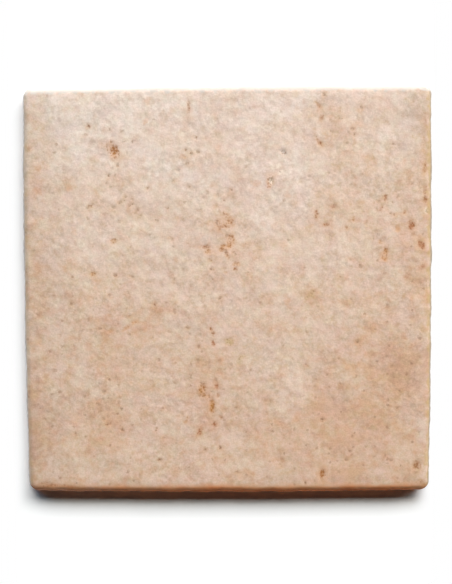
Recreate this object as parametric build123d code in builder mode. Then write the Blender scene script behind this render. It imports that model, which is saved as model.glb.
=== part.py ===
"""Square clinker floor tile: one fired piece, glazed on its face and keyed on its back."""

import os

from build123d import *

# Format of the tile, in millimetres
TILE_WIDTH = 300.0  # across the back keyways, along X
TILE_LENGTH = 300.0  # along the back keyways, along Y
TILE_THICKNESS = 11.0  # from the feet of the back ribs to the glazed face

# Roundings of the glazed piece
CORNER_RADIUS = 8.0  # the four corners, seen from above
FACE_EDGE_RADIUS = 6.5  # where the face rolls over into the sides

# Dovetail keyways in the back, which the bedding mortar locks into
KEYWAY_PITCH = 20.0  # nominal: the row is spread evenly between the outer ribs
KEYWAY_MOUTH = 9.0  # width at the back of the tile
KEYWAY_UNDERCUT = 0.8  # how far each flank leans out past the mouth
KEYWAY_DEPTH = 1.6
KEYWAY_ROOT_RADIUS = 0.4  # the two inner corners
OUTER_RIB_WIDTH = 15.5  # from the last keyway's mouth to the side

keyway_span = TILE_WIDTH - 2 * OUTER_RIB_WIDTH - KEYWAY_MOUTH
keyway_gaps = round(keyway_span / KEYWAY_PITCH)
keyway_spacing = keyway_span / keyway_gaps

# Section of one keyway, standing on the back of the tile
with BuildSketch() as keyway:
    half_mouth = KEYWAY_MOUTH / 2
    half_roof = half_mouth + KEYWAY_UNDERCUT
    with BuildLine():
        Polyline(
            (-half_mouth, 0),
            (-half_roof, KEYWAY_DEPTH),
            (half_roof, KEYWAY_DEPTH),
            (half_mouth, 0),
            close=True,
        )
    make_face()
    fillet(keyway.vertices().group_by(Axis.Y)[-1], radius=KEYWAY_ROOT_RADIUS)

with BuildPart() as clinker_tile:
    # The slab with its rounded corners
    with BuildSketch() as outline:
        RectangleRounded(TILE_WIDTH, TILE_LENGTH, CORNER_RADIUS)
    extrude(amount=TILE_THICKNESS)

    # The rim of the glazed face, rolled over all round
    glazed_face = clinker_tile.faces().sort_by(Axis.Z)[-1]
    fillet(glazed_face.edges(), radius=FACE_EDGE_RADIUS)

    # The keyways, from end to end of the back
    with BuildSketch(Plane.XZ) as keyway_row:
        with GridLocations(keyway_spacing, 0, keyway_gaps + 1, 1):
            add(keyway.sketch)
    extrude(amount=TILE_LENGTH, both=True, mode=Mode.SUBTRACT)

clinker_tile.part.label = "clinker_tile"

os.makedirs("parts", exist_ok=True)
export_step(clinker_tile.part, "parts/clinker_tile.step")
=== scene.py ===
"""Clinker tile: a glazed and fired floor tile, seen from above on a white floor."""

import math

import bmesh
import bpy
from mathutils import Euler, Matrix, Vector, kdtree, noise


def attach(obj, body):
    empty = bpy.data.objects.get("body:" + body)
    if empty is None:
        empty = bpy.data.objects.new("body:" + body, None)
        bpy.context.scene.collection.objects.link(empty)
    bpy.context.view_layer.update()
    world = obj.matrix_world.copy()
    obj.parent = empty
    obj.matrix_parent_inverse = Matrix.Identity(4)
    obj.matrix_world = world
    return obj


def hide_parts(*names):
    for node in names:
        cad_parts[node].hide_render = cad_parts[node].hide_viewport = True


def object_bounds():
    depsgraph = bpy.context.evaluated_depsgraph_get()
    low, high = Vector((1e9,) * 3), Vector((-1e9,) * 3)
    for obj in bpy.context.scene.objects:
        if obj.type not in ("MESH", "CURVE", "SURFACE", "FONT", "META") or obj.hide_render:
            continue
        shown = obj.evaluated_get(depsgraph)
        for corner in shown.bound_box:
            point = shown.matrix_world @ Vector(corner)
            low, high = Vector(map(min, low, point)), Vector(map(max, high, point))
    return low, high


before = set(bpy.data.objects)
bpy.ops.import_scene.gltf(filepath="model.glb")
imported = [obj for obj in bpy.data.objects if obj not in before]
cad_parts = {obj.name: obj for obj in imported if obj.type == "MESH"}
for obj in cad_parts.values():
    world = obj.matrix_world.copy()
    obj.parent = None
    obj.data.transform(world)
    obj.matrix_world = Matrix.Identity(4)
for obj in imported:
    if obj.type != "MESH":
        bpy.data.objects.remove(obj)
cad_low, cad_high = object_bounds()
scene = bpy.context.scene
scene.view_settings.view_transform = "Standard"


# The camera hangs 0.8 m over the tile, a little past its middle, and looks almost straight down through a
# long lens. It comes first, because the marks on the tile are placed by where they show in its picture.
PICTURE_WIDTH = 452
PICTURE_HEIGHT = 584
SENSOR_WIDTH = 36.0
LENS_PER_WIDTH = 2.4045
CAMERA_PLACE = Vector((0.01167, 0.04441, 0.8))
CAMERA_TURN = Euler((math.radians(-3.285), math.radians(0.897), math.radians(-0.322)))

camera_data = bpy.data.cameras.new("camera")
camera_data.sensor_fit = "HORIZONTAL"
camera_data.sensor_width = SENSOR_WIDTH
camera_data.lens = LENS_PER_WIDTH * SENSOR_WIDTH
camera = bpy.data.objects.new("camera", camera_data)
camera.location = CAMERA_PLACE
camera.rotation_euler = CAMERA_TURN
scene.collection.objects.link(camera)
scene.camera = camera


# The tile is one slab of red-brown clay, extruded through a die, glazed on its face and rim and fired hard.
# Its skin starts as one fine sheet that is laid over the slab and rolled down its four sides, and then takes
# the hollows and pits of the firing. The keyways of its back are cut out last, as the die leaves them.
HALF_SIDE = cad_high.x
THICKNESS = cad_high.z
CORNER_RADIUS = 0.008
RIM_RADIUS = 0.0065
SHEET_CELLS = 306
SHORTEST_RUN = 1e-9
FACES_SIDE = (0.1, 0.8)  # from here to here a point of the rim turns to face the near or the far side

corner_centre = HALF_SIDE - CORNER_RADIUS
roll_start = CORNER_RADIUS - RIM_RADIUS
roll_length = RIM_RADIUS * math.pi / 2
side_height = THICKNESS - RIM_RADIUS
sheet_half = corner_centre + roll_start + roll_length + side_height

skin = bmesh.new()
bmesh.ops.create_grid(skin, x_segments=SHEET_CELLS, y_segments=SHEET_CELLS, size=sheet_half)
rim_share = skin.verts.layers.float.new("rim")
near_rim_share = skin.verts.layers.float.new("near_rim")
far_rim_share = skin.verts.layers.float.new("far_rim")
tone_shift = skin.verts.layers.float.new("tone")
shade = skin.verts.layers.float.new("shade")
stain_and_painted_light = skin.verts.layers.float_color.new("stain_and_painted_light")


def soft_step(value, low, high):
    """Smooth rise from 0 at low to 1 at high."""
    share = min(max((value - low) / (high - low), 0.0), 1.0)
    return share * share * (3 - 2 * share)


def roll_down(run):
    """Reach outwards, height and turned share of a point this far along the skin from a corner's centre."""
    if run <= roll_start:
        return run, THICKNESS, 0.0
    turn = (run - roll_start) / RIM_RADIUS
    if turn < math.pi / 2:
        reach = roll_start + RIM_RADIUS * math.sin(turn)
        return reach, THICKNESS - RIM_RADIUS * (1 - math.cos(turn)), turn / (math.pi / 2)
    return CORNER_RADIUS, side_height - (run - roll_start - roll_length), 1.0


for vert in skin.verts:
    along_x = max(abs(vert.co.x) - corner_centre, 0.0)
    along_y = max(abs(vert.co.y) - corner_centre, 0.0)
    reach, level, turned = roll_down(max(along_x, along_y))
    if along_x >= along_y:
        bearing = math.pi / 4 * along_y / max(along_x, SHORTEST_RUN)
    else:
        bearing = math.pi / 2 - math.pi / 4 * along_x / along_y
    plan_x = min(abs(vert.co.x), corner_centre) + reach * math.cos(bearing)
    plan_y = min(abs(vert.co.y), corner_centre) + reach * math.sin(bearing)
    if max(along_x, along_y) > 0.0:
        vert.co = (math.copysign(plan_x, vert.co.x), math.copysign(plan_y, vert.co.y), level)
    else:
        vert.co.z = THICKNESS
    vert[rim_share] = turned
    towards_far = math.sin(bearing) * vert.co.y / HALF_SIDE
    vert[near_rim_share] = turned * soft_step(-towards_far, *FACES_SIDE)
    vert[far_rim_share] = turned * soft_step(towards_far, *FACES_SIDE)

# Marks of the firing, placed by the pixels of the photograph: column, row, width, height, lean of the long
# axis to the right in degrees, and how much of the glaze they cover. The pale marks are painted highlights,
# and a few of the brown marks are painted shade.
STAIN_AND_PAINTED_LIGHT_TINTS = {
    "brown": (160, 106, 54),
    "ochre": (182, 128, 62),
    "orange": (196, 138, 76),
    "red_brown": (164, 100, 52),
    "grey_brown": (136, 106, 78),
    "grey": (158, 148, 138),
    "olive": (178, 158, 102),
    "painted_highlight": (246, 232, 212),
}
STAINS_AND_PAINTED_LIGHT = {
    "brown": [
        # The first brown mark, at the near right corner, is painted shade on the corner's rim
        (424.0, 485.0, 7.0, 6.0, 45, 0.35), (425.5, 189.0, 5.0, 10.0, 0, 0.35),
        (426.0, 120.0, 4.0, 20.0, 0, 0.25), (113.6, 149.8, 7.5, 10.5, -20, 0.82),
        (116.0, 152.1, 3.5, 3.5, 0, 0.60), (205.2, 246.6, 10.5, 3.8, 0, 0.58),
        (209.8, 260.2, 4.5, 3.0, 0, 0.55), (235.1, 269.1, 3.5, 3.5, 0, 0.65),
        (221.3, 249.6, 4.0, 4.0, 0, 0.75), (228.7, 257.9, 2.5, 3.5, 0, 0.50),
        (219.3, 227.5, 2.6, 5.5, 0, 0.65), (231.4, 222.4, 4.0, 6.5, 0, 0.50),
        (225.5, 226.2, 10.0, 2.6, 0, 0.42), (228.5, 219.5, 3.0, 3.0, 0, 0.55),
        (211.0, 329.2, 3.5, 4.5, 0, 0.70), (213.3, 333.8, 3.0, 5.0, -30, 0.55),
        (203.0, 386.6, 5.5, 6.5, 0, 0.65), (217.9, 395.7, 3.5, 3.5, 0, 0.55),
        (221.0, 417.6, 3.0, 3.0, 0, 0.50), (326.3, 224.4, 6.5, 3.5, 0, 0.60),
        (346.0, 226.6, 3.2, 4.2, 0, 0.45), (385.7, 197.1, 4.5, 5.5, 0, 0.60),
        (405.4, 211.0, 2.6, 5.5, 0, 0.50), (425.9, 199.0, 5.0, 6.0, 0, 0.60),
        (323.0, 474.0, 5.5, 8.5, 0, 0.90), (417.8, 466.5, 8.5, 9.5, 0, 0.62),
        (188.5, 107.0, 3.5, 12.0, 0, 0.50), (318.8, 103.8, 3.0, 8.0, -35, 0.55),
        # The two long brown marks at the near left rim are painted shade where its edge dips
        (46.0, 486.5, 20.0, 6.0, 0, 0.50), (66.0, 488.5, 16.0, 4.5, 0, 0.42),
        (316.5, 214.0, 4.0, 9.0, 0, 0.60), (414.3, 233.3, 2.5, 2.5, 0, 0.50),
        (322.0, 117.0, 5.0, 7.0, 0, 0.40), (317.5, 138.3, 3.0, 6.0, -20, 0.35),
        (320.5, 142.8, 3.2, 7.0, -45, 0.55), (269.2, 183.2, 4.5, 8.0, 0, 0.46),
    ],
    "ochre": [
        (112.8, 153.0, 4.0, 3.0, 0, 0.60), (207.8, 251.6, 4.0, 4.5, 0, 0.60),
        (235.1, 264.2, 4.5, 2.5, 0, 0.50), (239.1, 263.1, 3.0, 2.5, 0, 0.40),
        (226.7, 255.3, 3.0, 3.0, 0, 0.40), (200.7, 391.2, 3.4, 6.0, -20, 0.60),
        (202.6, 391.0, 8.0, 14.0, 0, 0.30), (204.1, 395.4, 5.0, 3.0, 20, 0.50),
        (208.7, 396.5, 4.5, 2.5, 0, 0.45), (211.8, 406.5, 5.5, 13.5, 0, 0.80),
        (187.3, 418.0, 3.0, 3.0, 0, 0.40), (186.1, 421.8, 3.0, 3.5, 0, 0.40),
        (353.6, 218.6, 4.5, 5.5, 0, 0.50), (398.2, 228.4, 4.5, 5.5, 0, 0.40),
        (386.2, 250.6, 5.0, 6.5, 0, 0.66), (113.5, 241.0, 6.0, 4.5, 0, 0.66),
        (425.5, 166.0, 5.0, 14.0, 0, 0.45), (424.5, 143.0, 4.0, 14.0, 0, 0.25),
        (427.0, 290.0, 2.5, 40.0, 0, 0.20),
    ],
    "orange": [
        (225.5, 219.5, 13.0, 17.0, 0, 0.28), (113.0, 418.0, 18.0, 22.0, 0, 0.14),
        (113.1, 155.8, 5.0, 3.0, 0, 0.35), (222.7, 246.4, 3.5, 3.0, 0, 0.60),
        (229.4, 245.4, 4.0, 3.6, 0, 0.66), (225.8, 246.2, 8.0, 2.8, 0, 0.45),
        (230.4, 240.4, 8.0, 12.0, 0, 0.34), (233.0, 239.0, 2.4, 7.0, 0, 0.40),
        (384.8, 257.9, 6.5, 4.5, 0, 0.60), (380.8, 241.8, 4.0, 4.0, 0, 0.35),
        (126.0, 328.5, 3.0, 9.0, 60, 0.50), (226.2, 272.5, 4.0, 3.0, 0, 0.35),
        (110.0, 331.0, 3.0, 7.0, 70, 0.35), (134.5, 322.5, 3.0, 7.0, 60, 0.50),
        (93.0, 274.0, 4.0, 7.0, 80, 0.54), (408.0, 484.5, 26.0, 6.0, 0, 0.28),
        (37.5, 167.0, 8.0, 6.0, 0, 0.22),
    ],
    "red_brown": [
        (113.4, 158.7, 6.5, 3.0, 0, 0.20), (213.3, 343.7, 3.5, 6.5, -20, 0.62),
        (216.8, 386.6, 4.5, 6.5, 0, 0.55), (214.8, 424.4, 4.5, 5.0, 0, 0.62),
        (199.5, 432.0, 4.5, 7.0, 25, 0.75), (333.5, 206.1, 6.5, 4.5, 0, 0.42),
        (381.3, 207.9, 3.5, 6.5, 30, 0.45), (412.1, 224.8, 5.5, 8.5, 0, 0.78),
        (421.4, 244.5, 6.0, 9.0, -35, 0.70), (406.3, 277.1, 5.5, 3.5, 0, 0.40),
        (423.2, 265.9, 4.0, 5.0, 0, 0.40),
    ],
    "grey_brown": [
        (111.4, 141.2, 2.2, 3.5, 0, 0.70), (106.8, 145.5, 2.5, 3.5, 0, 0.60),
        (106.2, 148.7, 2.5, 2.5, 0, 0.50), (117.2, 164.0, 3.0, 4.5, 0, 0.50),
        (123.1, 141.2, 2.2, 5.5, 60, 0.40), (132.6, 141.2, 2.2, 5.5, 50, 0.35),
        (126.3, 152.4, 2.5, 2.5, 0, 0.35), (108.2, 174.2, 2.5, 2.5, 0, 0.35),
        (211.2, 268.8, 3.5, 3.5, 0, 0.50), (207.2, 274.6, 2.5, 2.5, 0, 0.35),
        (223.9, 268.2, 4.5, 2.2, 0, 0.35), (223.9, 251.9, 2.5, 2.5, 0, 0.45),
        (226.5, 253.0, 2.0, 5.5, 0, 0.75), (228.0, 234.6, 6.0, 2.2, 25, 0.42),
        (226.2, 236.1, 2.5, 2.5, 0, 0.45), (232.4, 237.2, 2.2, 5.0, -35, 0.18),
        (225.6, 225.8, 3.0, 3.0, 0, 0.22), (217.0, 222.3, 2.4, 4.0, 30, 0.66),
        (223.3, 213.1, 3.0, 3.0, 0, 0.30), (226.7, 215.4, 3.0, 3.0, 0, 0.30),
        (194.9, 223.5, 2.8, 5.5, 0, 0.30), (217.0, 205.0, 6.0, 2.4, 0, 0.28),
        (187.5, 327.7, 3.2, 3.2, 0, 0.75), (189.6, 334.5, 2.5, 3.0, 0, 0.35),
        (198.4, 346.4, 3.2, 3.8, 0, 0.45), (198.0, 361.0, 3.5, 5.5, 0, 0.45),
        (209.5, 361.3, 2.5, 3.5, 0, 0.40), (215.6, 379.7, 3.0, 3.5, 0, 0.45),
        (224.8, 378.1, 3.0, 3.0, 0, 0.35), (228.8, 430.8, 2.2, 5.5, -25, 0.40),
        (332.1, 213.2, 3.0, 3.0, 0, 0.35), (330.8, 236.4, 5.0, 9.0, 0, 0.25),
        (366.5, 221.7, 2.5, 3.5, 0, 0.45), (398.2, 195.4, 5.0, 4.0, 0, 0.30),
        (379.0, 200.3, 2.5, 2.5, 0, 0.40), (392.9, 201.6, 2.2, 2.2, 0, 0.40),
        (391.1, 212.8, 2.2, 2.2, 0, 0.40), (395.1, 213.7, 2.2, 2.2, 0, 0.40),
        (391.1, 223.9, 2.8, 2.8, 0, 0.35), (360.3, 266.3, 2.5, 3.5, 0, 0.45),
        (392.9, 265.4, 2.5, 2.5, 0, 0.35), (351.3, 259.6, 3.0, 3.0, 0, 0.35),
        (321.0, 143.0, 3.0, 4.0, 0, 0.12), (394.0, 143.0, 3.0, 4.0, 0, 0.40),
        (335.0, 170.0, 3.0, 4.0, 0, 0.40), (188.5, 186.0, 3.0, 4.0, 0, 0.40),
        (174.5, 312.0, 2.4, 6.0, 0, 0.40),
    ],
    "grey": [(283.3, 151.8, 4.0, 9.0, -60, 0.55)],
    "olive": [
        (312.0, 294.0, 8.0, 10.0, 0, 0.30), (229.4, 341.8, 8.5, 6.5, 0, 0.60),
        (240.0, 360.5, 6.0, 12.0, 0, 0.30), (243.5, 356.0, 4.0, 4.0, 0, 0.35),
        (307.0, 298.0, 3.0, 9.0, 35, 0.25),
    ],
    # Painted highlights: where the light catches the lips of pits, small ridges and the right rim
    "painted_highlight": [
        (271.0, 180.8, 3.8, 6.5, 10, 0.95), (279.0, 165.0, 5.0, 5.0, 0, 0.35),
        (280.5, 172.5, 4.0, 8.0, 60, 0.45), (182.0, 134.0, 6.0, 5.0, 0, 0.30),
        (250.0, 137.5, 5.0, 13.0, 85, 0.22), (240.0, 143.0, 5.0, 11.0, 85, 0.22),
        (427.0, 209.5, 6.0, 7.0, 0, 0.50),
    ],
}

# Small round dots of the grey-brown stain: how much they cover, and their columns and rows.
DOT_SIZE = 3.2
DOTS = {
    0.58: [
        (196, 138), (191, 154), (88, 126), (109, 129), (115, 275), (89.5, 206), (109, 296), (155, 304),
        (220, 298), (100, 329), (107, 425), (122, 430), (160, 460), (205, 450), (220, 448), (392, 461),
        (392, 367), (407, 375), (420, 339), (357, 342), (322, 420), (353, 437), (351, 452), (347, 460),
        (306, 483),
    ],
    0.45: [
        (186, 150), (198, 152), (187, 163), (104, 392),
    ],
    0.40: [
        (203.5, 197.3), (207.2, 192.5), (217.6, 194.8), (224.4, 199.9), (231.6, 189.6), (233, 196.5),
        (245.1, 226.9), (341, 118), (353, 128), (332, 131), (346, 137), (355, 134), (329, 172),
        (310, 176), (347, 143), (362, 107), (325, 94), (108.3, 175), (114.5, 175.3), (110, 186.7),
        (106.7, 182.5), (92.5, 204.5), (87, 207.5), (113.3, 207), (124, 200), (125.5, 196), (131.7, 199),
        (120, 202), (132, 204), (129, 205.5), (135, 213), (137.5, 210), (88.3, 217.5), (156.7, 220),
        (167.5, 208), (148, 187.5), (173, 181), (178, 170), (173, 246.7), (171.7, 239), (174, 279),
        (132.5, 277), (57, 175),
    ],
    0.28: [
        (111.4, 167.9), (94, 274), (99, 412), (103, 419), (117, 414), (110, 432), (98, 405), (126, 421),
        (114, 395), (99, 425), (96, 400), (103, 399.5),
    ],
}
# Broad washes, where the glaze runs warmer (above 0) or paler (below 0): column, row, width, height, shift.
# The paler wash at column 273, row 170 is a painted sheen, where the light glances off the face.
WASHES_AND_SHEEN = [
    (395, 375, 120, 110, 0.29), (406, 364, 50, 40, 0.16), (340, 440, 110, 90, 0.19),
    (415, 220, 30, 80, 0.22), (207, 388, 40, 84, 0.16), (216, 230, 40, 64, 0.05),
    (111, 329, 70, 38, 0.06), (111, 424, 50, 36, 0.18), (51, 385, 44, 84, 0.10), (30, 290, 26, 400, 0.14),
    (386, 250, 26, 28, 0.08), (311, 294, 18, 24, 0.11), (428, 150, 30, 130, 0.34),
    (422, 280, 36, 60, 0.30), (338, 155, 90, 110, 0.16), (338, 112, 60, 40, 0.18),
    (45, 275, 50, 60, 0.18), (108, 330, 90, 110, 0.20), (95, 455, 130, 60, 0.08),
    (268, 430, 70, 40, 0.08), (322, 385, 24, 60, 0.22), (384, 198, 36, 30, 0.14), (36, 145, 30, 40, 0.12),
    (88, 205, 24, 16, 0.12), (188, 148, 26, 20, 0.24), (247, 176, 18, 18, 0.18), (285, 132, 24, 20, 0.22),
    (160, 136, 24, 18, 0.16), (100, 180, 30, 30, 0.18), (255, 256, 40, 16, 0.16),
    (222, 218, 20, 18, 0.08), (354, 276, 20, 18, 0.18), (318, 305, 24, 18, 0.14),
    (199, 373, 20, 16, 0.18), (182, 413, 30, 18, 0.04), (38, 382, 20, 36, 0.12), (30, 452, 24, 50, 0.20),
    (375, 308, 22, 16, 0.10), (404, 434, 22, 18, 0.12), (273, 170, 80, 60, -0.22),
    (266, 217, 70, 30, -0.15), (255, 130, 130, 80, -0.10), (75, 125, 100, 40, -0.10),
    (295, 370, 60, 70, -0.15), (168, 160, 50, 40, -0.24), (208, 188, 44, 40, -0.20),
    (200, 246, 20, 24, -0.06), (60, 375, 40, 50, -0.10), (52, 415, 40, 40, 0.10),
    (120, 140, 110, 60, -0.12), (152, 100, 90, 24, -0.18), (297, 104, 80, 30, -0.26),
    (358, 385, 40, 30, -0.15), (414, 440, 36, 60, -0.13), (381, 441, 20, 20, -0.12),
    (132, 466, 20, 16, 0.12), (62, 470, 60, 30, -0.14), (398, 175, 30, 50, -0.08),
    (372, 135, 34, 36, -0.20), (300, 176, 36, 40, -0.12), (161, 262, 30, 24, -0.14),
    (75, 161, 40, 30, -0.16), (118, 240, 30, 20, -0.10), (170, 437, 40, 30, -0.16),
    (232, 390, 30, 24, -0.10), (272, 415, 30, 50, -0.10), (42, 100, 40, 16, -0.12),
    (75, 390, 36, 40, -0.10), (145, 455, 50, 40, -0.10), (325, 466, 50, 20, -0.10),
]
# Painted shade, in greyer places along the left side, the near rim, the corners and a few spots of the face:
# column, row, width, height, lean of the long axis to the right in degrees, and strength.
SHADES = [
    (42, 260, 50, 340, 0, 0.07), (418, 112, 40, 60, 0, 0.13), (79, 120, 14, 86, 72, 0.11),
    (280, 476, 40, 18, 0, 0.08), (362, 481, 30, 12, 0, 0.08), (45, 445, 40, 50, 0, 0.07),
    (80, 465, 50, 24, 0, 0.05), (55, 410, 30, 30, 0, 0.05), (388, 178, 30, 30, 0, 0.07),
    (400, 362, 40, 40, 0, 0.07), (38, 104, 30, 26, 0, 0.06), (72, 100, 24, 16, 0, 0.05),
    (36, 150, 24, 40, 0, 0.03), (122, 483, 40, 7, 0, 0.10), (48, 275, 36, 36, 0, 0.06),
    (105, 345, 70, 80, 0, 0.04), (30, 440, 20, 70, 0, 0.07), (416, 478, 24, 16, 0, 0.07),
    (418, 340, 24, 24, 0, 0.05), (172, 196, 40, 50, 0, 0.035), (250, 350, 34, 50, 0, 0.045),
    (184, 345, 30, 50, 0, 0.03), (285, 478, 30, 14, 0, 0.03), (50, 330, 26, 26, 0, 0.03),
]
# Pressed dents with hardly any stain: column, row, width, height, depth in metres.
DENTS = [
    (270.7, 181.5, 5.0, 5.0, 0.0004), (283.0, 151.0, 5.0, 4.0, 0.0003), (168.0, 333.0, 5.0, 4.0, 0.0003),
    (369.0, 431.0, 5.0, 4.0, 0.0003),
]
# How the marks spread, in shares of their own radius, how they fade from their edge to their full strength,
# and how ragged their edges are, in metres. The seed keeps the ragged edges the same each time.
MARK_SPREAD = 1.3
STAIN_REACH = 3.2
CORE_FADE = (1.3, 0.45)
HALO_FADE = (2.4, 0.9)
HALO_TINT = (204, 156, 116)
HALO_COVER = 0.30
STAIN_DEPTH = 0.00028
STAIN_RAGGED = 0.0009
WASH_REACH = 1.6
WASH_FADE = (1.5, 0.1)
WASH_RAGGED = 0.004
SHADE_RAGGED = 0.003
DENT_REACH = 2.0
DENT_FADE = (1.3, 0.0)
DENT_RAGGED = 0.0006
RAGGED_SIZE = 0.0026
RAGGED_SEED = 7

noise.seed_set(RAGGED_SEED)


def linear(tint):
    """An 8-bit picture colour as the linear values that a shader takes."""
    return [((value / 255 + 0.055) / 1.055) ** 2.4 for value in tint]


halo_tint = Vector(linear(HALO_TINT))
pixel_on_face = (CAMERA_PLACE.z - THICKNESS) / (LENS_PER_WIDTH * PICTURE_WIDTH)
skin_points = kdtree.KDTree(len(skin.verts))
skin.verts.ensure_lookup_table()
for vert in skin.verts:
    skin_points.insert(vert.co, vert.index)
    vert[stain_and_painted_light] = (*halo_tint, 0.0)
skin_points.balance()
pit_depth = [0.0] * len(skin.verts)


def place_on_face(column, row):
    """The point of the glazed face that shows at this place in the picture."""
    ray = CAMERA_TURN.to_matrix() @ Vector((
        (column - PICTURE_WIDTH / 2) / PICTURE_WIDTH,
        (PICTURE_HEIGHT / 2 - row) / PICTURE_WIDTH,
        -LENS_PER_WIDTH,
    ))
    return CAMERA_PLACE + ray * (THICKNESS - CAMERA_PLACE.z) / ray.z


def points_under(column, row, width, height, lean, reach, ragged):
    """Index and distance, in shares of the mark's own radius, of the skin's points within a mark."""
    centre = place_on_face(column, row)
    half_width = MARK_SPREAD * width / 2 * pixel_on_face
    half_height = MARK_SPREAD * height / 2 * pixel_on_face
    lean_cos = math.cos(math.radians(lean))
    lean_sin = math.sin(math.radians(lean))
    for point, index, _ in skin_points.find_range(centre, reach * max(half_width, half_height)):
        offset = point - centre + ragged * noise.noise_vector(point / RAGGED_SIZE)
        across = offset.x * lean_cos - offset.y * lean_sin
        along = offset.x * lean_sin + offset.y * lean_cos
        yield index, math.hypot(across / half_width, along / half_height)


for cover, places in DOTS.items():
    STAINS_AND_PAINTED_LIGHT["grey_brown"] += [(column, row, DOT_SIZE, DOT_SIZE, 0, cover) for column, row in places]
for name, marks in STAINS_AND_PAINTED_LIGHT.items():
    tint = Vector(linear(STAIN_AND_PAINTED_LIGHT_TINTS[name]))
    for column, row, width, height, lean, cover in marks:
        for index, distance in points_under(column, row, width, height, lean, STAIN_REACH, STAIN_RAGGED):
            core = soft_step(distance, *CORE_FADE)
            share = cover * max(core, HALO_COVER * soft_step(distance, *HALO_FADE))
            if share > 0.0:
                vert = skin.verts[index]
                held = Vector(vert[stain_and_painted_light][:3]) * vert[stain_and_painted_light][3]
                whole = vert[stain_and_painted_light][3] * (1 - share) + share
                blended = (held * (1 - share) + halo_tint.lerp(tint, core) * share) / whole
                vert[stain_and_painted_light] = (*blended, whole)
                pit_depth[index] = max(pit_depth[index], STAIN_DEPTH * cover * core)

for column, row, width, height, shift in WASHES_AND_SHEEN:
    for index, distance in points_under(column, row, width, height, 0, WASH_REACH, WASH_RAGGED):
        skin.verts[index][tone_shift] += shift * soft_step(distance, *WASH_FADE)

for column, row, width, height, lean, strength in SHADES:
    for index, distance in points_under(column, row, width, height, lean, WASH_REACH, SHADE_RAGGED):
        skin.verts[index][shade] += strength * soft_step(distance, *WASH_FADE)

for column, row, width, height, depth in DENTS:
    for index, distance in points_under(column, row, width, height, 0, DENT_REACH, DENT_RAGGED):
        pit_depth[index] += depth * soft_step(distance, *DENT_FADE)

# Relief of the clay under the glaze: size of the waves along X and along Y, and their full depth. The finest
# waves are calmer towards the near side. The rim is worn in small bites and long waves, with fewer bites at
# the corners. The face sinks towards the sides like a pillow, and the sides bow out in their middles.
RELIEF = [
    (0.045, 0.040, 0.00035),
    (0.024, 0.028, 0.00040),
    (0.011, 0.0125, 0.00042),
    (0.0052, 0.0058, 0.00031),
    (0.0028, 0.0030, 0.00018),
]
LAYER_SHIFT = 5.7
RELIEF_RAISE = 0.00048
RAISE_FADE = (1.0, 0.3)
FINE_RELIEF = 0.006
NEAR_CALM = 0.45
CALM_REACH = (0.080, 0.125)
RIM_WEAR = 0.00045
RIM_WEAR_SIZE = 0.0034
WEAR_MEAN = 0.5
WEAR_SWING = 0.7
WEAR_FADE = (0.0, 0.8)
RIM_WAVE = 0.0005
RIM_WAVE_SIZE = 0.0095
CORNER_WEAR = 0.25
CORNER_REACH = (-0.002, 0.003)
PILLOW_DEPTH = 0.0009
PILLOW_WIDTH = 0.016
SIDE_BOW = 0.0091
FAR_RIGHT_EASE = 0.45
SHADE_TOWARDS_NEAR = 0.25


def pillow(distance):
    """How far the face has sunk towards a side at this distance from it."""
    return PILLOW_DEPTH * max(1 - max(distance, RIM_RADIUS) / PILLOW_WIDTH, 0.0) ** 3


skin.normal_update()
sunken = []
for vert in skin.verts:
    depth = -RELIEF_RAISE * soft_step(vert[rim_share], *RAISE_FADE)
    for layer, (size_x, size_y, full_depth) in enumerate(RELIEF):
        wave_z = vert.co.z / size_y + LAYER_SHIFT * layer
        wave = noise.noise((vert.co.x / size_x, vert.co.y / size_y, wave_z))
        if size_x < FINE_RELIEF:
            wave *= 1 - NEAR_CALM * soft_step(-vert.co.y, *CALM_REACH)
        depth += full_depth * (0.5 + 0.5 * wave)
    depth = max(depth, 0.0) + pit_depth[vert.index]
    wear = max(WEAR_MEAN + WEAR_SWING * noise.noise(vert.co / RIM_WEAR_SIZE), 0.0)
    in_corner = soft_step(min(abs(vert.co.x), abs(vert.co.y)) - corner_centre, *CORNER_REACH)
    wear *= 1 + (CORNER_WEAR - 1) * in_corner
    long_wave = noise.noise(vert.co / RIM_WAVE_SIZE)
    depth += (RIM_WEAR * wear + RIM_WAVE * long_wave) * soft_step(vert[rim_share], *WEAR_FADE)
    place = vert.co - vert.normal * depth
    sink = pillow(HALF_SIDE - abs(vert.co.x)) + pillow(HALF_SIDE - abs(vert.co.y))
    place.z -= sink * vert.co.z / THICKNESS
    sunken.append(place)
for vert, place in zip(skin.verts, sunken):
    # Painted shade: the glaze tone shifts darker and warmer towards the near side
    vert[tone_shift] -= SHADE_TOWARDS_NEAR * place.y / HALF_SIDE
    far_right = max(place.x / HALF_SIDE, 0.0) * max(place.y / HALF_SIDE, 0.0)
    bow = SIDE_BOW * (1 - FAR_RIGHT_EASE * far_right)
    bow_x = 1 - bow * (place.y / HALF_SIDE) ** 2
    bow_y = 1 - bow * (place.x / HALF_SIDE) ** 2
    foot_or_above = 0.0 if vert.is_boundary else max(place.z, 0.0)
    vert.co = (place.x * bow_x, place.y * bow_y, foot_or_above)

# The cells are split in two by turns, so that no way across the face looks smoother than another
cells = list(skin.faces)
for turn, method in enumerate(("FIXED", "ALTERNATE")):
    in_turn = [
        cell for number, cell in enumerate(cells)
        if (number // SHEET_CELLS + number % SHEET_CELLS) % 2 == turn
    ]
    bmesh.ops.triangulate(skin, faces=in_turn, quad_method=method)
bmesh.ops.edgeloop_fill(skin, edges=[edge for edge in skin.edges if edge.is_boundary])
bmesh.ops.recalc_face_normals(skin, faces=skin.faces)
skin_mesh = bpy.data.meshes.new("clinker_tile_skin")
skin.to_mesh(skin_mesh)
skin.free()

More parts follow.
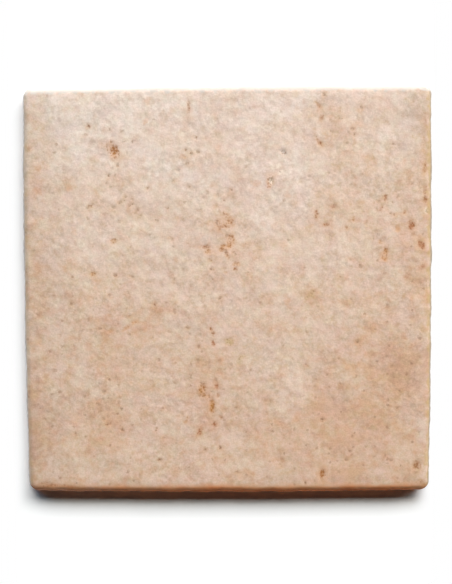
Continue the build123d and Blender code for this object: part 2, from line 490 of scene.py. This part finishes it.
# The cutter for the back: one dovetail bar for each keyway, from end to end of the tile.
KEYWAY_SPACING = 0.020
KEYWAY_COUNT = 14
KEYWAY_MOUTH = 0.009
KEYWAY_UNDERCUT = 0.0008
KEYWAY_DEPTH = 0.0016
KEYWAY_ROOT_RADIUS = 0.0004
KEYWAY_ROOT_STEPS = 3
CUTTER_SPARE = 0.002
SHARP_ANGLE = math.radians(40)

cutter = bmesh.new()
half_mouth = KEYWAY_MOUTH / 2
half_roof = half_mouth + KEYWAY_UNDERCUT
section = [
    (-half_mouth, -CUTTER_SPARE), (half_mouth, -CUTTER_SPARE), (half_mouth, 0.0),
    (half_roof, KEYWAY_DEPTH), (-half_roof, KEYWAY_DEPTH), (-half_mouth, 0.0),
]
for number in range(KEYWAY_COUNT):
    middle = (number - (KEYWAY_COUNT - 1) / 2) * KEYWAY_SPACING
    end_verts = [cutter.verts.new((middle + x, -HALF_SIDE - CUTTER_SPARE, z)) for x, z in section]
    end_face = cutter.faces.new(end_verts)
    extruded = bmesh.ops.extrude_face_region(cutter, geom=[end_face])
    moved = [item for item in extruded["geom"] if isinstance(item, bmesh.types.BMVert)]
    bmesh.ops.translate(cutter, verts=moved, vec=(0.0, 2 * (HALF_SIDE + CUTTER_SPARE), 0.0))
roots = []
for edge in cutter.edges:
    runs_along = abs(edge.verts[0].co.y - edge.verts[1].co.y) > HALF_SIDE
    if runs_along and min(vert.co.z for vert in edge.verts) > KEYWAY_DEPTH / 2:
        roots.append(edge)
bmesh.ops.bevel(
    cutter, geom=roots, offset=KEYWAY_ROOT_RADIUS, offset_type="OFFSET", affect="EDGES",
    segments=KEYWAY_ROOT_STEPS, profile=0.5, material=-1,
)
bmesh.ops.recalc_face_normals(cutter, faces=cutter.faces)
cutter_mesh = bpy.data.meshes.new("keyway_cutter")
cutter.to_mesh(cutter_mesh)
cutter.free()

cutter_bars = bpy.data.objects.new("keyway_cutter", cutter_mesh)
scene.collection.objects.link(cutter_bars)
uncut = bpy.data.objects.new("uncut_tile", skin_mesh)
scene.collection.objects.link(uncut)
cut = uncut.modifiers.new("keyways", "BOOLEAN")
cut.operation = "DIFFERENCE"
cut.solver = "MANIFOLD"
cut.object = cutter_bars
tile_mesh = bpy.data.meshes.new_from_object(uncut.evaluated_get(bpy.context.evaluated_depsgraph_get()))
tile_mesh.name = "glazed_tile"
tile_mesh.shade_smooth()
tile_mesh.set_sharp_from_angle(angle=SHARP_ANGLE)
bpy.data.objects.remove(uncut)
bpy.data.objects.remove(cutter_bars)
tile = bpy.data.objects.new("glazed_tile", tile_mesh)
scene.collection.objects.link(tile)

# The finish: a stone-look glaze that mottles from pale pink to tan, thin and ochre over the rim, with the
# bare clay body below the glaze line and on the back.
PATTERN_SHIFT = (1.0, 1.7, 2.3)
PATCH_RANGE = (0.3, 0.7)

finish = bpy.data.materials.new("stone_glaze_on_clinker")
finish.use_nodes = True
nodes = finish.node_tree.nodes
links = finish.node_tree.links
nodes.clear()
object_place = nodes.new("ShaderNodeTexCoord").outputs["Object"]
place_parts = nodes.new("ShaderNodeSeparateXYZ")
links.new(object_place, place_parts.inputs["Vector"])
place_x = place_parts.outputs["X"]
place_y = place_parts.outputs["Y"]
place_z = place_parts.outputs["Z"]


def feed(socket, value):
    """Links an output to a socket, or sets the socket to a plain value."""
    if isinstance(value, bpy.types.NodeSocket):
        links.new(value, socket)
    else:
        socket.default_value = value


def pattern_place(vector, shift, scale):
    """Places on the tile, shifted and scaled for one pattern."""
    mapping = nodes.new("ShaderNodeMapping")
    links.new(vector, mapping.inputs["Vector"])
    mapping.inputs["Location"].default_value = [shift * part for part in PATTERN_SHIFT]
    mapping.inputs["Scale"].default_value = scale
    return mapping.outputs["Vector"]


def patches(size, shift, detail=2.0, roughness=0.5, stretch=1.0):
    """Soft random patches of about this size, as values around one half."""
    scale = (1 / (size * stretch), 1 / size, 1 / size)
    texture = nodes.new("ShaderNodeTexNoise")
    links.new(pattern_place(object_place, shift, scale), texture.inputs["Vector"])
    texture.inputs["Scale"].default_value = 1.0
    texture.inputs["Detail"].default_value = detail
    texture.inputs["Roughness"].default_value = roughness
    return texture.outputs["Fac"]


def arithmetic(operation, first, second):
    """One arithmetic step between two values."""
    step = nodes.new("ShaderNodeMath")
    step.operation = operation
    feed(step.inputs[0], first)
    feed(step.inputs[1], second)
    return step.outputs["Value"]


def plus(first, second):
    """Two values added."""
    return arithmetic("ADD", first, second)


def times(first, second):
    """Two values multiplied."""
    return arithmetic("MULTIPLY", first, second)


def larger(first, second):
    """The larger of two values."""
    return arithmetic("MAXIMUM", first, second)


def graded(value, low, high, to_low=0.0, to_high=1.0, smooth=True):
    """A value carried from one range to another, held at its ends."""
    step = nodes.new("ShaderNodeMapRange")
    step.interpolation_type = "SMOOTHSTEP" if smooth else "LINEAR"
    step.clamp = True
    feed(step.inputs["Value"], value)
    step.inputs["From Min"].default_value = low
    step.inputs["From Max"].default_value = high
    step.inputs["To Min"].default_value = to_low
    step.inputs["To Max"].default_value = to_high
    return step.outputs["Result"]


def layered(share, under, over, blend="MIX"):
    """One colour laid over another."""
    layer = nodes.new("ShaderNodeMix")
    layer.data_type = "RGBA"
    layer.blend_type = blend
    feed(layer.inputs["Factor"], share)
    for socket, colour in ((layer.inputs["A"], under), (layer.inputs["B"], over)):
        feed(socket, colour if isinstance(colour, bpy.types.NodeSocket) else (*linear(colour), 1.0))
    return layer.outputs["Result"]


def from_mesh(name, output):
    """A value that the tile's mesh carries at each of its points."""
    reader = nodes.new("ShaderNodeAttribute")
    reader.attribute_name = name
    return reader.outputs[output]


# Mottled glaze, from its palest tone to its darkest. Each size of patch leans to the dark side, as the iron
# in the glaze gathers in spots: size, share of the tone that it moves, and shift of its pattern.
GLAZE_TONES = [(0.0, (233, 221, 210)), (0.5, (220, 199, 179)), (1.0, (206, 170, 140))]
MIDDLE_TONE = 0.5
MOTTLE = [
    (0.060, 0.10, 7.0), (0.030, 0.18, 3.0), (0.012, 0.38, 11.0), (0.0052, 0.36, 23.0), (0.0024, 0.08, 31.0),
]
MOTTLE_RANGE = (0.36, 0.86)
MOTTLE_PALE = -0.24
MOTTLE_DARK = 0.76

tone = plus(from_mesh("tone", "Fac"), MIDDLE_TONE)
for size, share, shift in MOTTLE:
    patch = patches(size, shift, detail=1.0, roughness=0.6)
    tone = plus(tone, graded(patch, *MOTTLE_RANGE, MOTTLE_PALE * share, MOTTLE_DARK * share))
mottle = nodes.new("ShaderNodeValToRGB")
while len(mottle.color_ramp.elements) < len(GLAZE_TONES):
    mottle.color_ramp.elements.new(MIDDLE_TONE)
for stop, (position, tint) in zip(mottle.color_ramp.elements, GLAZE_TONES):
    stop.position = position
    stop.color = (*linear(tint), 1.0)
links.new(tone, mottle.inputs["Fac"])
colour = mottle.outputs["Color"]

# Faint casts of other colours in the glaze
CASTS = {
    "olive": {"tint": (190, 196, 150), "size": 0.0070, "shift": 45.0, "fade": (0.35, 0.65), "share": 0.12},
    "pink": {"tint": (228, 176, 168), "size": 0.0045, "shift": 47.0, "fade": (0.35, 0.65), "share": 0.13},
    "mauve": {"tint": (216, 188, 184), "size": 0.0160, "shift": 53.0, "fade": (0.40, 0.68), "share": 0.22},
}

for cast in CASTS.values():
    cast_share = graded(patches(cast["size"], cast["shift"]), *cast["fade"], 0.0, cast["share"])
    colour = layered(cast_share, colour, cast["tint"])

# Dark grain all over, clouds of coarser grain in places, and the painted shade of the greyer places
GRAIN_TINT = (142, 108, 70)
GRAIN_SIZE = 0.0012
GRAIN_SHARE = 0.16
CLOUD_SIZE = 0.0036
CLOUD_SHARE = 0.20
CLOUDED_SIZE = 0.0150
CLOUDED_FADE = (0.38, 0.62, 0.15, 1.0)
SHADE_TINT = (120, 112, 104)

grain = graded(patches(GRAIN_SIZE, shift=41.0, roughness=0.7), *PATCH_RANGE, GRAIN_SHARE, 0.0)
colour = layered(grain, colour, GRAIN_TINT, "MULTIPLY")
cloud = graded(patches(CLOUD_SIZE, shift=43.0, roughness=0.6), *PATCH_RANGE, CLOUD_SHARE, 0.0)
clouded = graded(patches(CLOUDED_SIZE, shift=49.0, detail=1.0), *CLOUDED_FADE)
colour = layered(times(cloud, clouded), colour, GRAIN_TINT, "MULTIPLY")
colour = layered(from_mesh("shade", "Fac"), colour, SHADE_TINT, "MULTIPLY")

# Soft warm smudges and dark specks, with more of the fine specks where the glaze is dark
SPOT_RAGGED = 2.0
SPOT_CORE = 0.25
SMUDGE = (200, 150, 108)
SMUDGE_SHARE = 0.35
SPECK = (146, 114, 88)
LARGE_SPECK_SHARE = 0.55
FINE_SPECK_SHARE = 0.50
FINE_SPECKS_BY_TONE = (0.40, 0.85, 0.35, 1.25)


def scattered(spacing, radius, kept, shift):
    """Ragged spots, one at most in each cell of this spacing, in the kept share of the cells."""
    ragged = nodes.new("ShaderNodeTexNoise")
    links.new(object_place, ragged.inputs["Vector"])
    ragged.inputs["Scale"].default_value = 1 / radius
    warped = nodes.new("ShaderNodeVectorMath")
    warped.operation = "MULTIPLY_ADD"
    links.new(ragged.outputs["Color"], warped.inputs[0])
    warped.inputs[1].default_value = (SPOT_RAGGED * radius, SPOT_RAGGED * radius, 0.0)
    links.new(object_place, warped.inputs[2])
    scale = (1 / spacing, 1 / spacing, 1 / spacing)
    spots = nodes.new("ShaderNodeTexVoronoi")
    links.new(pattern_place(warped.outputs["Vector"], shift, scale), spots.inputs["Vector"])
    spots.voronoi_dimensions = "2D"
    spots.inputs["Scale"].default_value = 1.0
    lot = nodes.new("ShaderNodeSeparateColor")
    links.new(spots.outputs["Color"], lot.inputs["Color"])
    spot = graded(spots.outputs["Distance"], radius / spacing, SPOT_CORE * radius / spacing)
    drawn = graded(lot.outputs["Red"], 1 - kept, 1.0, 0.0, 1.0, smooth=False)
    return times(spot, drawn)


smudges = scattered(spacing=0.0260, radius=0.0040, kept=0.55, shift=57.0)
large_specks = scattered(spacing=0.0240, radius=0.0017, kept=0.60, shift=55.0)
fine_specks = scattered(spacing=0.0085, radius=0.0013, kept=0.75, shift=51.0)
fine_specks = times(fine_specks, graded(tone, *FINE_SPECKS_BY_TONE))
colour = layered(times(smudges, SMUDGE_SHARE), colour, SMUDGE)
colour = layered(times(large_specks, LARGE_SPECK_SHARE), colour, SPECK)
colour = layered(times(fine_specks, FINE_SPECK_SHARE), colour, SPECK)

# Stains: a soft wash of iron colour, broken up a little, with dark grains where it is thick. The same marks
# carry the painted highlights and the few painted shades.
STAIN_GRAIN = (120, 78, 46)
STAIN_BREAK_SIZE = 0.0016
STAIN_BREAK = (0.33, 0.67, 0.70, 1.30)
STAIN_THICKENS = 0.30
STAIN_GRAIN_FADE = (0.64, 0.84, 0.0, 0.5)
STAINED_FADE = (0.1, 0.4)

stain_and_light_cover = from_mesh("stain_and_painted_light", "Alpha")
stain_break = patches(STAIN_BREAK_SIZE, shift=61.0)
stain_and_light_share = times(stain_and_light_cover, graded(stain_break, *STAIN_BREAK, smooth=False))
colour = layered(stain_and_light_share, colour, from_mesh("stain_and_painted_light", "Color"))
stain_grain = graded(plus(stain_break, times(stain_and_light_cover, STAIN_THICKENS)), *STAIN_GRAIN_FADE)
colour = layered(times(stain_grain, graded(stain_and_light_cover, *STAINED_FADE)), colour, STAIN_GRAIN)

# Thin ochre glaze along the rim, thinnest towards the right, and none of it on the far rim
THIN_GLAZE = (180, 154, 102)
RIM_PATCH_SIZE = 0.005
RIM_DRIFT = 0.25
THIN_FADE = (0.10, 0.50, 0.0, 0.35)
THIN_BY_Y = (0.1440, 0.1400)
THIN_BY_X = (-HALF_SIDE, HALF_SIDE, 0.6, 1.9)

turned_down = from_mesh("rim", "Fac")
rim_drift = graded(patches(RIM_PATCH_SIZE, shift=71.0), *PATCH_RANGE, -RIM_DRIFT, RIM_DRIFT, smooth=False)
thin_share = graded(plus(turned_down, rim_drift), *THIN_FADE)
thin_share = times(thin_share, graded(place_y, *THIN_BY_Y))
thin_share = times(thin_share, graded(place_x, *THIN_BY_X))
colour = layered(thin_share, colour, THIN_GLAZE)

# Paler glaze where the rim turns down, and on the far rim, which faces the light, a painted highlight that
# is palest and widest; a dull coat of glaze on the sides
SIDE_GLAZE = (166, 138, 110)
SIDE_COVER = 0.65
SIDE_TOP = (0.0052, 0.0044)
RIM_GLAZE_LEFT = (194, 189, 185)
RIM_GLAZE_RIGHT_SHADED = (152, 145, 133)
RIM_FADE = (0.32, 0.66, 0.0, 0.85)
FAR_RIM_HIGHLIGHT = (200, 193, 185)
FAR_RIM_FADE = (0.02, 0.20)
FAR_DRIFT = 0.16
FAR_DRIFT_BY_Y = (0.1405, 0.1435)
FAR_RIM_EDGE_HIGHLIGHT = (205, 198, 188)
FAR_EDGE_FADE = (0.35, 0.60, 0.0, 0.85)

side_glaze = layered(SIDE_COVER, colour, SIDE_GLAZE)
# Painted shade: the rim glaze is darker towards the right, where the rim catches the most light
towards_right = graded(place_x, -HALF_SIDE, HALF_SIDE, smooth=False)
rim_glaze_shaded_right = layered(towards_right, RIM_GLAZE_LEFT, RIM_GLAZE_RIGHT_SHADED)
colour = layered(graded(turned_down, *RIM_FADE), colour, rim_glaze_shaded_right)
turned_far = from_mesh("far_rim", "Fac")
far_drift = graded(patches(RIM_PATCH_SIZE, shift=73.0), *PATCH_RANGE, -FAR_DRIFT, FAR_DRIFT, smooth=False)
far_drift = times(far_drift, graded(place_y, *FAR_DRIFT_BY_Y))
colour = layered(graded(plus(turned_far, far_drift), *FAR_RIM_FADE), colour, FAR_RIM_HIGHLIGHT)
colour = layered(graded(turned_far, *FAR_EDGE_FADE), colour, FAR_RIM_EDGE_HIGHLIGHT)
on_side = graded(place_z, *SIDE_TOP)
colour = layered(on_side, colour, side_glaze)

# Painted shade on the shaded near rim: the glaze warms towards it, less so at the tile's two ends
NEAR_SHADE_WARM_GLAZE = (206, 150, 104)
NEAR_EDGE_Y = (-0.1385, -0.1450)
NEAR_PATCH_SIZE = 0.006
NEAR_DRIFT = (0.25, 0.75, -0.18, 0.18)
WARM_FADE = (0.35, 1.25, 0.0, 0.9)
WARM_BY_X = [(-0.14, -0.03, 0.4, 1.0), (0.130, 0.147, 1.0, 0.5)]
NEAR_SHADE_FADE = (-0.04, 0.46)
NEAR_SHADE_BY_X = [(-0.13, 0.03, 0.55, 1.0), (0.125, 0.146, 1.0, 0.40)]

turned_near = from_mesh("near_rim", "Fac")
near_drift = graded(patches(NEAR_PATCH_SIZE, shift=85.0, detail=3.0, stretch=2.0), *NEAR_DRIFT, smooth=False)
near_edge = graded(place_y, *NEAR_EDGE_Y, smooth=False)
near_rim_shade = plus(turned_near, times(near_drift, near_edge))
near_shade_warmth = graded(plus(near_rim_shade, near_edge), *WARM_FADE, smooth=False)
for at_end in WARM_BY_X:
    near_shade_warmth = times(near_shade_warmth, graded(place_x, *at_end))
colour = layered(near_shade_warmth, colour, NEAR_SHADE_WARM_GLAZE)
near_shade_clay = graded(near_rim_shade, *NEAR_SHADE_FADE, smooth=False)
for at_end in NEAR_SHADE_BY_X:
    near_shade_clay = times(near_shade_clay, graded(place_x, *at_end))

# The clay body, below the glaze line and on the back. On the near rim the bare clay and the dark line where
# the glaze ends are painted shade, and the clay of the near side is painted brighter and warmer than
# elsewhere
NEAR_PAINTED_CLAY = (228, 138, 82)
NEAR_PAINTED_CLAY_DARK = (200, 112, 64)
CLAY = (176, 110, 76)
CLAY_DARK = (142, 84, 58)
CLAY_PATCH_SIZE = 0.004
GLAZE_LINE = 0.0033
LINE_BLUR = 0.0003
LINE_PATCH_SIZE = 0.012
LINE_DRIFT = (0.2, 0.8, -0.0013, 0.0013)
NEAR_SHADE_LINE = (118, 66, 42)
NEAR_SHADE_LINE_STARTS = (0.40, 0.50)
NEAR_SHADE_LINE_ENDS = (0.66, 0.54)
NEAR_SHADE_LINE_SHARE = 0.4

line_drift = graded(patches(LINE_PATCH_SIZE, shift=81.0), *LINE_DRIFT, smooth=False)
clay_below = graded(plus(place_z, line_drift), GLAZE_LINE + LINE_BLUR, GLAZE_LINE - LINE_BLUR)
clay_and_near_shade_share = larger(clay_below, near_shade_clay)
clay_patch = patches(CLAY_PATCH_SIZE, shift=91.0, detail=4.0, roughness=0.65)
clay = layered(clay_patch, NEAR_PAINTED_CLAY, NEAR_PAINTED_CLAY_DARK)
other_side = arithmetic("SUBTRACT", on_side, turned_near)
clay = layered(other_side, clay, layered(clay_patch, CLAY, CLAY_DARK))
colour = layered(clay_and_near_shade_share, colour, clay)
near_shade_line = times(graded(near_rim_shade, *NEAR_SHADE_LINE_STARTS), graded(near_rim_shade, *NEAR_SHADE_LINE_ENDS))
colour = layered(times(near_shade_line, NEAR_SHADE_LINE_SHARE), colour, NEAR_SHADE_LINE)

# Matte glaze whose gloss drifts a little, duller clay, and the finest relief, calmer towards the near side
GLOSS_PATCH_SIZE = 0.003
GLAZE_ROUGHNESS = (0.72, 0.86)
CLAY_ROUGHER_BY = 0.1
SPECULAR_LEVEL = 0.3
BUMP_SIZE = 0.0020
BUMP_DEPTH = 0.00019
SPECK_HEIGHT = -0.3

roughness = graded(patches(GLOSS_PATCH_SIZE, shift=101.0), *PATCH_RANGE, *GLAZE_ROUGHNESS)
roughness = plus(roughness, graded(clay_and_near_shade_share, 0.0, 1.0, 0.0, CLAY_ROUGHER_BY))
fine_relief = plus(patches(BUMP_SIZE, shift=111.0), times(fine_specks, SPECK_HEIGHT))
calm = graded(place_y, -CALM_REACH[1], -CALM_REACH[0], 1 - NEAR_CALM, 1.0)
bump = nodes.new("ShaderNodeBump")
bump.inputs["Strength"].default_value = 1.0
bump.inputs["Distance"].default_value = BUMP_DEPTH
links.new(times(fine_relief, calm), bump.inputs["Height"])

surface = nodes.new("ShaderNodeBsdfPrincipled")
surface.inputs["Specular IOR Level"].default_value = SPECULAR_LEVEL
links.new(colour, surface.inputs["Base Color"])
links.new(roughness, surface.inputs["Roughness"])
links.new(bump.outputs["Normal"], surface.inputs["Normal"])
output = nodes.new("ShaderNodeOutputMaterial")
links.new(surface.outputs["BSDF"], output.inputs["Surface"])
tile_mesh.materials.clear()
tile_mesh.materials.append(finish)

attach(tile, "root")
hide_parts("clinker_tile")


# The floor is a plain white sheet under the tile. It is lit by the same lamps, so that it keeps the tile's
# shadow. Far from the tile it shows as even white. Past the tile's left and right sides, and over the right
# end of the shadow along the near side, the floor glows even white too: painted light that wipes out that
# part of the shadow.
FLOOR_HALF = 3.0
FLOOR_DROP = 0.0001
FLOOR_WHITE = 0.92
FLOOR_SEEN = 1.06
SHADOW_REACH = (0.30, 0.60)
LEFT_SHADOW_WIPE = (-0.150, -0.161)
RIGHT_SHADOW_WIPE = (0.136, 0.1515)

floor_sheet = bmesh.new()
bmesh.ops.create_grid(floor_sheet, x_segments=1, y_segments=1, size=FLOOR_HALF)
bmesh.ops.translate(floor_sheet, verts=floor_sheet.verts, vec=(0.0, 0.0, -FLOOR_DROP))
floor_mesh = bpy.data.meshes.new("white_floor")
floor_sheet.to_mesh(floor_mesh)
floor_sheet.free()
floor = bpy.data.objects.new("white_floor", floor_mesh)
scene.collection.objects.link(floor)

floor_finish = bpy.data.materials.new("white_floor")
floor_finish.use_nodes = True
nodes = floor_finish.node_tree.nodes
links = floor_finish.node_tree.links
nodes.clear()


def seen_ray(light_path):
    """1 for the rays by which the camera sees a thing, also in gloss or through glass."""
    camera_or_gloss = larger(light_path.outputs["Is Camera Ray"], light_path.outputs["Is Glossy Ray"])
    return larger(camera_or_gloss, light_path.outputs["Is Transmission Ray"])


def shaders_mixed(share, under, over):
    """Two shaders mixed by a share."""
    mixed = nodes.new("ShaderNodeMixShader")
    feed(mixed.inputs["Fac"], share)
    links.new(under, mixed.inputs[1])
    links.new(over, mixed.inputs[2])
    return mixed.outputs["Shader"]


floor_lit = nodes.new("ShaderNodeBsdfDiffuse")
floor_lit.inputs["Color"].default_value = (FLOOR_WHITE, FLOOR_WHITE, FLOOR_WHITE, 1.0)
floor_near = nodes.new("ShaderNodeBsdfDiffuse")
floor_near.inputs["Color"].default_value = (FLOOR_SEEN, FLOOR_SEEN, FLOOR_SEEN, 1.0)
floor_far = nodes.new("ShaderNodeEmission")
floor_place = nodes.new("ShaderNodeTexCoord").outputs["Object"]
distance = nodes.new("ShaderNodeVectorMath")
distance.operation = "LENGTH"
links.new(floor_place, distance.inputs[0])
across = nodes.new("ShaderNodeSeparateXYZ")
links.new(floor_place, across.inputs["Vector"])
left_shadow_wiped = graded(across.outputs["X"], *LEFT_SHADOW_WIPE)
right_shadow_wiped = graded(across.outputs["X"], *RIGHT_SHADOW_WIPE)
white_and_wiped_shadow_share = larger(graded(distance.outputs["Value"], *SHADOW_REACH), larger(left_shadow_wiped, right_shadow_wiped))
floor_seen = shaders_mixed(white_and_wiped_shadow_share, floor_near.outputs["BSDF"], floor_far.outputs["Emission"])
floor_rays = seen_ray(nodes.new("ShaderNodeLightPath"))
floor_surface = shaders_mixed(floor_rays, floor_lit.outputs["BSDF"], floor_seen)
links.new(floor_surface, nodes.new("ShaderNodeOutputMaterial").inputs["Surface"])
floor_mesh.materials.append(floor_finish)


# The light is soft, like a long row of windows in a wall beyond the tile's far side: broad panes that reach
# far to the right, dimmer ones above them, and a cool one to the left. A low white card in front lights the
# near side of the tile a little, and the room shows white behind the floor.
LAMPS = {
    "right_panes": {
        "place": (6.25, 5.21, 2.98), "size": (18.5, 2.18), "power": 1565.0, "tint": (1.0, 0.99, 0.98),
    },
    "upper_panes": {
        "place": (6.25, 4.32, 4.17), "size": (18.5, 0.84), "power": 272.0, "tint": (1.0, 0.985, 0.91),
    },
    "left_pane": {
        "place": (-6.0, 5.21, 2.98), "size": (6.0, 2.18), "power": 180.0, "tint": (0.42, 0.74, 1.0),
    },
    "front_card": {
        "place": (0.0, -5.0, 0.2), "size": (8.0, 0.4), "power": 56.0, "tint": (1.0, 0.97, 0.93),
    },
}
ROOM_LIGHT = 0.001

for name, values in LAMPS.items():
    lamp_data = bpy.data.lights.new(name, "AREA")
    lamp_data.shape = "RECTANGLE"
    lamp_data.size, lamp_data.size_y = values["size"]
    lamp_data.energy = values["power"]
    lamp_data.color = values["tint"]
    lamp = bpy.data.objects.new(name, lamp_data)
    lamp.location = values["place"]
    facing = Vector((0.0, -lamp.location.y, -lamp.location.z))
    lamp.rotation_euler = facing.to_track_quat("-Z", "Y").to_euler()
    scene.collection.objects.link(lamp)

room = bpy.data.worlds.new("white_room")
room.use_nodes = True
nodes = room.node_tree.nodes
links = room.node_tree.links
nodes.clear()
room_seen = seen_ray(nodes.new("ShaderNodeLightPath"))
room_glow = nodes.new("ShaderNodeBackground")
room_glow.inputs["Color"].default_value = (1.0, 1.0, 1.0, 1.0)
links.new(graded(room_seen, 0.0, 1.0, ROOM_LIGHT, 1.0), room_glow.inputs["Strength"])
links.new(room_glow.outputs["Background"], nodes.new("ShaderNodeOutputWorld").inputs["Surface"])
scene.world = room
